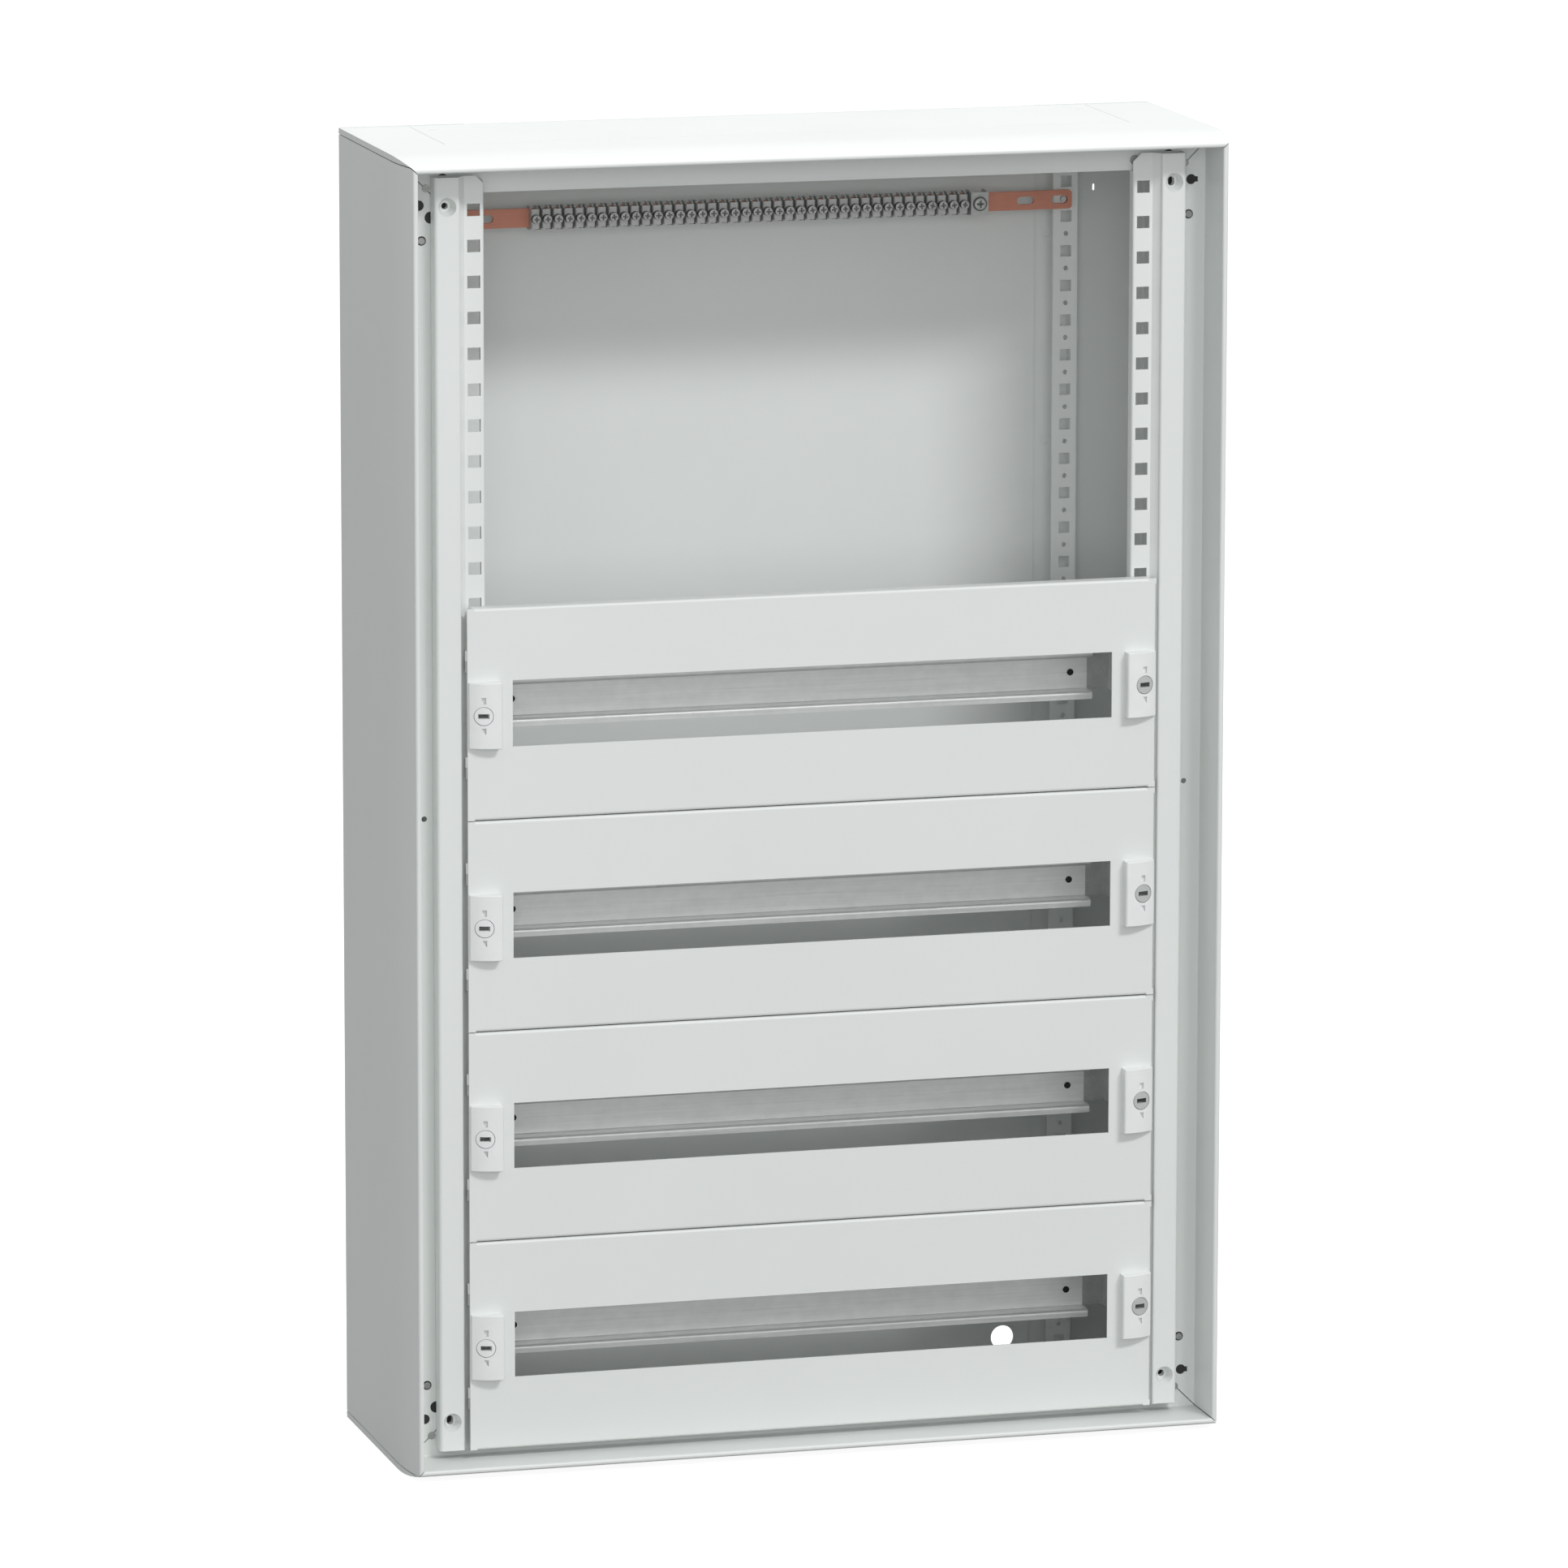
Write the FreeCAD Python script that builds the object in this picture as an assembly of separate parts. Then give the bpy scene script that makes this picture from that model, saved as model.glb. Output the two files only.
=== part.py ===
import FreeCAD, Part
import math
import os
from FreeCAD import Vector

# Wall-mounted electrical distribution cabinet, open at the front, with four hinged front plates
# over device rails and an open bay with an earth bar above them. Millimetres.
#
# Frame: X to the right seen from the front, Y from the front lip (-) back to the wall (+), Z up.
# Origin: middle of the base. "behind" is always the distance back from the front lip.

# ---------------------------------------------------------------- cabinet
width = 595.0
height = 930.0
depth = 205.0
touch = 0.3                  # air between pieces that move past each other
shell_sheet = 1.2
lip_width = 8.5              # outer face to the visible inner wall, at the opening
recess_behind = 42.0         # front-facing flange that the uprights stand on
side_flange = 39.0           # its width beyond the inner wall, at the sides
top_flange = 19.2            # the same at the top and bottom
curve_behind = 46.0          # the outer faces curve in from here to the lip
curve_corner = 25.5          # where the two straight stretches of that curve would meet
curve_slope = 0.195
lip_bend = 1.2
inner_bend = 1.8
rear_bend = 3.0
edge_fold = 4.0              # turned-down edge of the top and bottom panels
panel_gap = 0.9              # open seam between neighbouring panels
side_rear_flange = 91.5      # width of the side panels' flange along the wall, behind the back plate
top_rear_flange = 15.0

# ---------------------------------------------------------------- fastening points of the recess
# Close to each corner: (in from the side, in from the top or bottom)
corner_key = (18.8, 35.5)
corner_round = (27.0, 44.0)
corner_ring = (20.5, 60.0)
corner_seam = (23.6, 23.6)
corner_top = (35.6, 18.0)
corner_screw = (60.5, 20.5)
key_r = 3.6
key_notch = (1.4, 1.9)       # notch beside the key hole: past its edge, and half its height
round_r = 4.2
ring_hole_r = 3.3
rivet_r = 1.6
rivet_head_r = 2.6
rivet_head = 1.1
ring_head_r = 2.4
ring_head = 0.6
rivet_tail = 1.0
middle_hole_r = 2.0
screw_r = 2.0
screw_head_r = 3.4
screw_head = 1.8
screw_end = 4.0              # screw beyond the sheet it grips
gusset_sheet = 2.0
gusset_inset = 43.5          # inner edge, from the outer face
gusset_air = 3.0             # to the panel's inner wall
gusset_from = 13.0           # from the top or bottom, to its two ends
gusset_to = 64.0

# ---------------------------------------------------------------- back and gland plates
back_sheet = 1.5
back_inset = 84.5            # back plate's edge, from the outer face
wall_hole_r = 8.6
wall_hole_inset = (104.0, 27.0)
gland_inset = 49.5           # from the outer face to the gland plate's edge
gland_front = 90.4
gland_rear_inset = 7.4
gland_gap = 0.4
gland_ledge = 4.0            # how far the plate's stepped rim reaches under the panel
gland_rear_ledge = 1.0       # less at the back, where the panel bends down
tab_slit = (11.0, 33.0)      # from the plate's edge and from the wall
tab_slit_size = (6.0, 1.2)
dimple_r = 3.4
dimple_deep = 0.9
dimple_inset = 75.5
dimple_drop = 2.0            # below the middle of each row
slit_inset = (40.0, 60.5)
slit_size = (1.8, 4.8)

# ---------------------------------------------------------------- front uprights
upright_sheet = 1.5
upright_inset = 15.0         # from the top and bottom
strip_inset = 26.5           # outer edge of the front strip, from the outer face
strip_w = 18.1
strip_rise = 14.0            # the strip stands this far in front of the recess
slant_from = 3.2             # the strip's inner wall goes straight back this far, then slants
hole_flange_step = 7.5       # hole flange behind the strip
hole_flange_reach = 18.7     # from the strip's inner edge to the flange's inner edge
upright_return_past = 2.0    # the return ends this far behind the recess
upright_foot = 1.1           # the foot ends this far from the strip's inner edge
upright_bend = 1.0
foot_bend = 2.0
end_chamfer = 6.0
square_from_strip = 11.3
square_w = 9.2
square_h = 8.7
square_rise = 1.2            # above the lines of the pitch
squares_per_row = 6          # of the front plates' rows; the right lock cams pass through one
access_from_strip = 9.1      # from the strip's inner edge
access_inset = 20.5          # from each end of the upright
access_r = 6.5
cup_deep = 8.0               # the access hole is the mouth of a conical cup this deep
cup_end_r = 3.9
foot_hole_r = 2.3
foot_slot = 6.6
foot_hole_air = 0.6          # the flange's own slot is this much larger
foot_screw_off = 0.5
foot_screw_r = 1.5

# ---------------------------------------------------------------- rear uprights
rear_strip_inset = 58.2
rear_strip_w = 19.1
rear_strip_to_wall = 25.0
rear_foot = 12.0             # turned in behind the strip and spot welded to the side panel
rear_square = 8.2
rear_round_r = 1.75
rear_end_inset = 7.0

# ---------------------------------------------------------------- rows, plates and windows
rows = 4
row_pitch = 150.0
plate_sheet = 1.2
plate_rise = 3.6             # plates in front of the uprights' strip
plate_air = 2.9              # to the strip's inner edge
plate_gap = 0.8              # between stacked plates
plate_return = 9.3           # top and bottom returns, behind the sheet
plate_side_return = 4.9
return_inset = 4.0
plate_bend = 1.4
window_inset = 32.3
window_h = 46.8

# ---------------------------------------------------------------- hinges of the front plates
hinge_inset = 0.7            # axis, from the plate's edge
hinge_rise = 0.5             # axis in front of the uprights' strip
pin_r = 0.9
pin_clearance = 0.05
pin_end = 0.5
knuckle_r = 1.6
knuckle_h = 7.6
knuckle_gap = 0.3
knuckle_web = 2.0
hinge_row_offset = 37.5      # from the row's middle, up and down
lug_wall = 1.0
lug_foot = 10.0

# ---------------------------------------------------------------- quarter-turn locks
lock_inset = 10.0            # axis, from the plate's edge
cover_outer_inset = 0.8
cover_w = 22.1
cover_h = 46.4
cover_thick = 8.4            # on the window side
cover_thin = 2.4             # at the outer edge
cover_mid = 7.0              # over the knob
cover_edge = 0.8
cover_fillet = 0.6
knob_r = 6.3
knob_clearance = 0.35
knob_base = 2.4              # underside of the knob's disc, in front of the plate
knob_fillet = 0.3
shaft_r = 2.4
boss_wall = 1.6
slot_w = 7.5
slot_h = 3.3
slot_deep = 3.8
cam_reach = 5.9
cam_half = 1.8
cam_thick = 2.6
mark_deep = 2.6
mark_near = 8.5              # the two marks, from the knob's middle
mark_long = 4.6
mark_half = 1.5

# ---------------------------------------------------------------- device rails
rail_air = 17.6              # rail's end to the upright's hole flange
rail_sheet = 1.5
rail_drop = 56.5             # front face of the web behind the plates' face
rail_deep = 15.0
rail_lip = 17.5              # half height over the lips
rail_web = 13.5              # half height of the web
rail_bend = 1.5
rail_line = (0.7, 0.6)       # width and depth of the line rolled along the middle of the web
rail_screw_inset = 12.3
rail_screw_r = 2.4
rail_screw_head_r = 3.6
bracket_sheet = 2.0
bracket_half_h = 13.0
bracket_under = 8.3          # the bracket's leg, beyond the rail screw
bracket_air = 2.5            # bracket's front edge behind the hole flange

# ---------------------------------------------------------------- earth bar
bar_steps = 2                # hole pitches below the uprights' top end
bar_past = 12.8              # past the rear strip's inner edge
bar_h = 13.4
bar_thick = 3.0
bar_corner = 2.5
bar_slot_half = 2.9
bar_slots = ((3.1, 15.2), (28.1, 40.8))    # from the bar's end
stud_r = 2.0
stud_air = 0.1
stud_head_r = 3.5
stud_nut = 3.5
terminal_pitch = 8.05
terminal_room = 70.0         # bar left free of small clamps, at each end
terminal_shift = -6.6        # the row of clamps stands a little to the left
terminal_w = 6.2
terminal_wall = 1.2
terminal_above = 1.7         # cheeks over the bar's edge
terminal_front_h = 13.2      # the front wall is lower than the cheeks
terminal_neck = 3.0          # so are the cheeks, this far back from the front wall
terminal_behind = 3.0        # cheeks behind the bar
terminal_wire = 6.0          # room for the wire in front of the bar
terminal_screw_r = 1.6
terminal_head_r = 3.1
terminal_head = 3.2
terminal_screw_out = 4.5
screw_bite = 0.5             # the screw's hole ends this far in front of the bar
cross_half = 0.35            # recess in the screws' heads
cross_share = 0.7
main_clamp_step = 11.7       # past the last small clamp, middle to middle
main_clamp_w = 12.9
main_clamp_h = 16.4
main_clamp_above = 2.2
main_clamp_wire = 7.0
main_screw_r = 2.8
main_head_r = 4.9
main_head = 2.0
main_screw_out = 2.2

# ---------------------------------------------------------------- places that follow from the sizes
half_w = width / 2
half_sheet = shell_sheet / 2
half_upright = upright_sheet / 2
upright_low = upright_inset
upright_high = height - upright_inset
pitch = row_pitch / squares_per_row
strip_outer = half_w - strip_inset
strip_behind = recess_behind - strip_rise
hole_flange_behind = strip_behind + hole_flange_step
upright_return = recess_behind + upright_return_past
strip_inner = strip_outer - strip_w
hole_flange_inner = strip_inner - hole_flange_reach
square_x = strip_inner - square_from_strip
access_x = strip_inner + access_from_strip
foot_screw_x = access_x + foot_screw_off
rear_strip_outer = half_w - rear_strip_inset
rear_strip_inner = rear_strip_outer - rear_strip_w
rear_strip_behind = depth - rear_strip_to_wall
rear_wall = depth - shell_sheet
rear_low = upright_low + rear_end_inset
rear_high = upright_high - rear_end_inset
gusset_front = recess_behind + shell_sheet
gusset_back = gusset_front + gusset_sheet
plate_behind = strip_behind - plate_rise
plate_half_width = strip_inner - plate_air
hinge_x = -(plate_half_width - hinge_inset)
hinge_behind = strip_behind - hinge_rise
lock_x = plate_half_width - lock_inset
cover_outer = plate_half_width - cover_outer_inset
cover_inner = cover_outer - cover_w
rail_half_length = hole_flange_inner - rail_air
rail_web_behind = plate_behind + rail_drop
bracket_front = hole_flange_behind + bracket_air
rail_screw_x = rail_half_length - rail_screw_inset
bar_half_length = rear_strip_inner + bar_past
bar_z = upright_high - bar_steps * pitch
bar_behind = rear_strip_behind - bar_thick
stud_x = bar_half_length - bar_slots[0][0] - bar_slot_half
terminal_count = int(2 * (bar_half_length - terminal_room) / terminal_pitch)
terminal_first = terminal_shift - (terminal_count - 1) * terminal_pitch / 2
row_middles = [upright_low + row_pitch * (rows - row - 0.5) for row in range(rows)]   # from the top

os.makedirs("parts", exist_ok=True)


# ---------------------------------------------------------------- helpers
def at(x, behind, z):
    return Vector(x, behind - depth / 2, z)


def block(x0, x1, behind0, behind1, z0, z1):
    corner = at(min(x0, x1), behind0, z0)
    return Part.makeBox(abs(x1 - x0), behind1 - behind0, z1 - z0, corner)


def rod_y(x, z, radius, behind0, behind1):
    return Part.makeCylinder(radius, behind1 - behind0, at(x, behind0, z), Vector(0, 1, 0))


def cone_y(x, z, front_r, back_r, behind, long):
    return Part.makeCone(front_r, back_r, long, at(x, behind, z), Vector(0, 1, 0))


def rod_z(x, behind, radius, z0, z1):
    return Part.makeCylinder(radius, z1 - z0, at(x, behind, z0))


def slot_y(x, z, half_x, half_z, behind0, behind1):
    """Oblong cutter along Y, rounded at the ends of its longer side."""
    radius = min(half_x, half_z)
    run_x = half_x - radius
    run_z = half_z - radius
    body = rod_y(x, z, radius, behind0, behind1)
    if run_x > run_z:
        body = block(x - run_x, x + run_x, behind0, behind1, z - radius, z + radius)
    if run_z > run_x:
        body = block(x - radius, x + radius, behind0, behind1, z - run_z, z + run_z)
    for side in (-1, 1):
        body = body.fuse(rod_y(x + side * run_x, z + side * run_z, radius, behind0, behind1))
    return body


def moved_path(points, bends, aside):
    """The path moved to its left by aside, and the bend radii that go with it."""
    runs = [(b - a).normalize() for a, b in zip(points, points[1:])]
    lefts = [Vector(-run.y, run.x, 0) for run in runs]
    moved = [points[0] + lefts[0] * aside]
    radii = []
    for i, bend in enumerate(bends):
        before, after = lefts[i], lefts[i + 1]
        moved.append(points[i + 1] + (before + after) * (aside / (1 + before.dot(after))))
        turn = 1 if runs[i].cross(runs[i + 1]).z > 0 else -1
        radii.append(bend - aside * turn)
    moved.append(points[-1] + lefts[-1] * aside)
    return moved, radii


def bent_edges(points, bends):
    """Edges of an open path, each inner corner rounded with its own radius."""
    edges = []
    start = points[0]
    for i, bend in enumerate(bends, 1):
        corner = points[i]
        come = (corner - points[i - 1]).normalize()
        leave = (points[i + 1] - corner).normalize()
        half_turn = come.getAngle(leave) / 2
        tangent = bend * math.tan(half_turn)
        inward = (leave - come).normalize()
        first = corner - come * tangent
        last = corner + leave * tangent
        middle = corner + inward * (bend / math.cos(half_turn) - bend)
        edges.append(Part.LineSegment(start, first).toShape())
        edges.append(Part.Arc(first, middle, last).toShape())
        start = last
    edges.append(Part.LineSegment(start, points[-1]).toShape())
    return edges


def sheet_face(pairs, bends, sheet):
    """Section of a folded sheet, from its middle line in (across, behind)."""
    points = [Vector(a, b, 0) for a, b in pairs]
    left, left_bends = moved_path(points, bends, sheet / 2)
    right, right_bends = moved_path(points, bends, -sheet / 2)
    edges = bent_edges(left, left_bends) + bent_edges(right, right_bends)
    edges.append(Part.LineSegment(left[0], right[0]).toShape())
    edges.append(Part.LineSegment(left[-1], right[-1]).toShape())
    return Part.Face(Part.Wire(Part.sortEdges(edges)[0]))


def stand(face, z0, z1):
    """A plan section (across = X) made into an upright piece."""
    solid = face.extrude(Vector(0, 0, z1 - z0))
    solid.translate(at(0, 0, z0))
    return solid


def lie(face, x0, x1):
    """A cross section (across = Z) made into a piece that runs along X."""
    solid = face.extrude(Vector(0, 0, x1 - x0))
    turn = FreeCAD.Matrix(0, 0, -1, x1, 0, 1, 0, -depth / 2, 1, 0, 0, 0, 0, 0, 0, 1)
    solid.Placement = FreeCAD.Placement(turn)
    return solid


def mirrored(solid):
    return solid.mirror(Vector(0, 0, 0), Vector(1, 0, 0))


def joined(solids):
    first = solids[0]
    return first.multiFuse(solids[1:]).removeSplitter() if len(solids) > 1 else first


def save(name, shape):
    shape.exportStep("parts/" + name + ".step")


# ---------------------------------------------------------------- shell
# Each of the four shell panels is one folded sheet: rear flange, outer face, gentle front curve,
# lip, inner wall and the recessed flange. "inward" is the distance in from the outer face.
curve_bend = (curve_behind - curve_corner) / math.tan(math.atan(curve_slope) / 2)
lip_inward = half_sheet + (curve_corner - half_sheet) * curve_slope


def shell_section(rear_flange, rear, flange, to_across):
    path = [(rear_flange, rear - half_sheet), (half_sheet, rear - half_sheet),
            (half_sheet, curve_corner), (lip_inward, half_sheet),
            (lip_width - half_sheet, half_sheet),
            (lip_width - half_sheet, recess_behind + half_sheet),
            (lip_width + flange, recess_behind + half_sheet)]
    bends = (rear_bend, curve_bend, lip_bend, lip_bend, inner_bend)
    return sheet_face([(to_across(inward), behind) for inward, behind in path], bends, shell_sheet)


def outer_form(to_across, middle):
    """Solid section inside the outer faces, closed at the middle line."""
    path = [(middle, depth), (0.0, depth), (0.0, curve_corner), (lip_inward - half_sheet, 0.0),
            (middle, 0.0)]
    points = [Vector(to_across(inward), behind, 0) for inward, behind in path]
    edges = bent_edges(points, (shell_sheet, curve_bend, lip_bend))
    edges.append(Part.LineSegment(points[-1], points[0]).toShape())
    return Part.Face(Part.Wire(Part.sortEdges(edges)[0]))


top_rear = rear_wall - back_sheet


def zone(gap, behind1):
    """Everything that belongs to the top panel, split off by its seam with the side panels."""
    reach = top_flange + lip_width + side_flange
    outline = []
    for side in (-1, 1):
        ends = [(side * (half_w + 1), height + 1), (side * (half_w + 1), height - edge_fold - gap),
                (side * (half_w - edge_fold), height - edge_fold - gap),
                (side * (half_w - reach), height - reach - gap)]
        outline += ends if side < 0 else ends[::-1]
    points = [at(x, -1, z) for x, z in outline]
    return Part.Face(Part.makePolygon(points + points[:1])).extrude(Vector(0, behind1 + 1, 0))


def upside_down(solid):
    return solid.mirror(Vector(0, 0, height / 2), Vector(0, 0, 1))


side_form = stand(outer_form(lambda inward: half_w - inward, half_w), 0, height)
side_form = side_form.fuse(mirrored(side_form)).removeSplitter()
top_form = lie(outer_form(lambda inward: height - inward, height / 2), -half_w, half_w)
shell_form = side_form.common(top_form.fuse(upside_down(top_form)).removeSplitter())

side_sheet = stand(shell_section(side_rear_flange, depth, side_flange, lambda inward: half_w - inward),
                   0, height)
top_sheet = lie(shell_section(top_rear_flange, top_rear, top_flange, lambda inward: height - inward),
                -half_w, half_w)

top_zone = zone(0, top_rear)
seam_zone = zone(panel_gap, top_rear + back_sheet + 0.1)
right_side = side_sheet.common(shell_form).cut(seam_zone).cut(upside_down(seam_zone))
fold = side_sheet.common(block(half_w - edge_fold, half_w, 0, top_rear, height - 2 * edge_fold, height))
top = joined([top_sheet, fold, mirrored(fold)]).common(shell_form).common(top_zone)

flange0 = recess_behind - 1
flange1 = recess_behind + shell_sheet + 1


def corner_place(inset, end):
    """A fastening point near a corner of the right side: X and Z."""
    return half_w - inset[0], end + (inset[1] if end == 0 else -inset[1])


def recess_hole(inset, end, radius):
    x, z = corner_place(inset, end)
    return rod_y(x, z, radius, flange0, flange1)


def foot_place(end):
    """Height of a front upright's foot screw, at either end of the cabinet."""
    return end + (1 if end == 0 else -1) * (upright_inset + access_inset)


side_holes = [rod_y(half_w - corner_ring[0], height / 2, middle_hole_r, flange0, flange1)]
for end in (0, height):
    key_x, key_z = corner_place(corner_key, end)
    side_holes += [recess_hole(corner_key, end, key_r),
                   block(key_x, key_x + key_r + key_notch[0], flange0, flange1,
                         key_z - key_notch[1], key_z + key_notch[1]),
                   recess_hole(corner_round, end, round_r), recess_hole(corner_ring, end, ring_hole_r),
                   recess_hole(corner_seam, end, rivet_r),
                   slot_y(access_x, foot_place(end), foot_hole_r + foot_hole_air,
                          foot_slot / 2 + foot_hole_air, flange0, flange1)]

# Shallow dimples and small slits in the rear flange, beside the rear uprights
dimple_rows = int((height - 2 * upright_inset) / row_pitch)
for row in range(dimple_rows):
    side_holes.append(rod_y(half_w - dimple_inset, upright_low + row_pitch * (row + 0.5) - dimple_drop,
                            dimple_r, rear_wall - 1, rear_wall + dimple_deep))
for slit_z in (slit_inset[1], height - slit_inset[1]):
    side_holes.append(slot_y(half_w - slit_inset[0], slit_z, slit_size[0] / 2, slit_size[1] / 2,
                             rear_wall - 1, depth + 1))
right_side = right_side.cut(joined(side_holes))

half_top_holes = joined([recess_hole(corner_seam, height, rivet_r), recess_hole(corner_top, height, round_r),
                         recess_hole(corner_screw, height, screw_r)])
gland_half_width = half_w - gland_inset
gland_rear = depth - gland_rear_inset
cutout = block(-gland_half_width - gland_gap, gland_half_width + gland_gap, gland_front - gland_gap,
               gland_rear + gland_gap, height - 3 * shell_sheet, height + 1)
top = top.cut(joined([half_top_holes, mirrored(half_top_holes), cutout]))

save("right_side_panel", right_side)
save("left_side_panel", mirrored(right_side))
save("top_panel", top)
save("bottom_panel", upside_down(top))

# The gland plate fills the cut-out flush and is stepped under its edge all round.
gland = block(-gland_half_width, gland_half_width, gland_front, gland_rear, height - shell_sheet, height)
rim = block(-gland_half_width - gland_ledge, gland_half_width + gland_ledge, gland_front - gland_ledge,
            gland_rear + gland_rear_ledge, height - 2 * shell_sheet, height - shell_sheet)
gland = joined([gland, rim])
tab_x = gland_half_width - tab_slit[0]
tab_behind = depth - tab_slit[1]
tab_slits = [block(side * tab_x - tab_slit_size[0] / 2, side * tab_x + tab_slit_size[0] / 2, tab_behind,
                   tab_behind + tab_slit_size[1], height - 3 * shell_sheet, height + 1) for side in (-1, 1)]
gland = gland.cut(joined(tab_slits))
save("top_gland_plate", gland)
save("bottom_gland_plate", upside_down(gland))

back_half_width = half_w - back_inset
wall_hole_x = half_w - wall_hole_inset[0]
back = block(-back_half_width, back_half_width, top_rear, top_rear + back_sheet, touch, height - touch)
wall_holes = [rod_y(side * wall_hole_x, z, wall_hole_r, top_rear - 1, depth)
              for side in (-1, 1) for z in (wall_hole_inset[1], height - wall_hole_inset[1])]
save("back_panel", back.cut(joined(wall_holes)))


# Corner pieces behind the recessed flanges carry both panels; rivets hold them.
def rivet(place, head_r, head, hole_depth):
    """Rivet through a recessed flange and its gusset; the head reaches hole_depth behind the face."""
    face = recess_behind + hole_depth
    return joined([rod_y(*place, head_r, recess_behind - head, face),
                   rod_y(*place, rivet_r, recess_behind, gusset_back + rivet_tail),
                   rod_y(*place, ring_head_r, gusset_back, gusset_back + rivet_tail)])


gussets, seam_rivets, ring_rivets, corner_screws = [], [], [], []
for end in (0, height):
    seam, ring, screw = [corner_place(inset, end) for inset in (corner_seam, corner_ring, corner_screw)]
    reach = sorted(abs(end - inset) for inset in (gusset_from, gusset_to))
    piece = block(half_w - gusset_inset, half_w - lip_width - gusset_air, gusset_front, gusset_back, *reach)
    foot = (foot_screw_x, foot_place(end))
    holes = [rod_y(*place, radius, gusset_front - 1, gusset_back + 1)
             for place, radius in ((seam, rivet_r), (ring, rivet_r), (foot, foot_screw_r))]
    gussets.append(piece.cut(joined(holes)))
    seam_rivets.append(rivet(seam, rivet_head_r, rivet_head, 0))
    ring_rivets.append(rivet(ring, ring_head_r, ring_head, shell_sheet))
    corner_screws.append(joined([rod_y(*screw, screw_head_r, recess_behind - screw_head, recess_behind),
                                 rod_y(*screw, screw_r, recess_behind, gusset_front + screw_end)]))


def both_sides(solids):
    return Part.makeCompound(solids + [mirrored(solid) for solid in solids])


save("corner_gussets", both_sides(gussets))
save("seam_rivets", both_sides(seam_rivets))
save("corner_rivets", both_sides(ring_rivets))
save("flange_screws", both_sides(corner_screws))

# ---------------------------------------------------------------- front uprights
slant_to = hole_flange_behind + half_upright
slant_behind = strip_behind + slant_from
front_path = [(strip_inner + upright_foot, recess_behind - half_upright),
              (strip_outer - half_upright, recess_behind - half_upright),
              (strip_outer - half_upright, strip_behind + half_upright),
              (strip_inner + half_upright, strip_behind + half_upright),
              (strip_inner + half_upright, slant_behind),
              (strip_inner + half_upright - (slant_to - slant_behind), slant_to),
              (hole_flange_inner + half_upright, slant_to),
              (hole_flange_inner + half_upright, upright_return)]
front_bends = (foot_bend, foot_bend) + (upright_bend,) * 4
front_upright = stand(sheet_face(front_path, front_bends, upright_sheet), upright_low, upright_high)
squares = int((upright_high - upright_low) / pitch) - 1
upright_cuts = []
for step in range(1, squares + 1):
    z = upright_low + pitch * step + square_rise
    upright_cuts.append(block(square_x - square_w / 2, square_x + square_w / 2, hole_flange_behind - 1,
                              slant_to + upright_sheet, z - square_h / 2, z + square_h / 2))
flange_clear = lip_width + top_flange + touch       # the return stops short of the top and bottom flanges
for end, inward, flange_edge in ((upright_low, 1, flange_clear), (upright_high, -1, height - flange_clear)):
    upright_cuts.append(cone_y(access_x, end + inward * access_inset, access_r, cup_end_r,
                               strip_behind, cup_deep))
    corner = [at(hole_flange_inner, strip_behind, end),
              at(hole_flange_inner + end_chamfer, strip_behind, end),
              at(hole_flange_inner, strip_behind, end + inward * end_chamfer)]
    corner_face = Part.Face(Part.makePolygon(corner + corner[:1]))
    upright_cuts.append(corner_face.extrude(Vector(0, upright_return, 0)))
    upright_cuts.append(block(hole_flange_inner - 1, hole_flange_inner + upright_sheet + 1,
                              hole_flange_behind + upright_sheet, upright_return + 1,
                              *sorted((end - inward, flange_edge))))
cup_wall = upright_sheet / 2
cups = [cone_y(access_x, z, access_r + cup_wall, cup_end_r + cup_wall, strip_behind, cup_deep + cup_wall)
        for z in (foot_place(0), foot_place(height))]
front_upright = front_upright.fuse(joined(cups)).cut(joined(upright_cuts))


def foot_holes(upright, slot_end):
    """One end is fixed through a round hole, the other through a slot that takes up tolerance."""
    for end in (0, height):
        half_z = foot_slot / 2 if end == slot_end else foot_hole_r
        upright = upright.cut(slot_y(access_x, foot_place(end), foot_hole_r, half_z,
                                     strip_behind + upright_sheet, recess_behind + 1))
    return upright


save("right_front_upright", foot_holes(front_upright, height))
left_front_upright = mirrored(foot_holes(front_upright, 0))
save("left_front_upright", left_front_upright)
foot_screws = [rod_y(foot_screw_x, foot_place(end), foot_screw_r, recess_behind - upright_sheet - touch,
                     gusset_back + touch) for end in (0, height)]
save("upright_foot_screws", both_sides(foot_screws))

# ---------------------------------------------------------------- rear uprights
rear_path = [(rear_strip_outer - rear_foot, rear_wall - half_upright),
             (rear_strip_outer - half_upright, rear_wall - half_upright),
             (rear_strip_outer - half_upright, rear_strip_behind + half_upright),
             (rear_strip_inner, rear_strip_behind + half_upright)]
rear_upright = stand(sheet_face(rear_path, (upright_bend,) * 2, upright_sheet), rear_low, rear_high)
rear_x = (rear_strip_inner + rear_strip_outer) / 2
strip_cut = (rear_strip_behind - 1, rear_strip_behind + upright_sheet + 1)
rear_cuts = [rod_y(stud_x, bar_z, stud_r + stud_air, *strip_cut)]
for step in range(squares):
    z = upright_low + pitch * (step + 0.5)
    round_z = z + pitch / 2
    rear_cuts.append(block(rear_x - rear_square / 2, rear_x + rear_square / 2, *strip_cut,
                           z - rear_square / 2, z + rear_square / 2))
    if abs(round_z - bar_z) > rear_round_r + stud_r:
        rear_cuts.append(rod_y(rear_x, round_z, rear_round_r, *strip_cut))
rear_upright = rear_upright.cut(joined(rear_cuts))
save("right_rear_upright", rear_upright)
save("left_rear_upright", mirrored(rear_upright))

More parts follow.
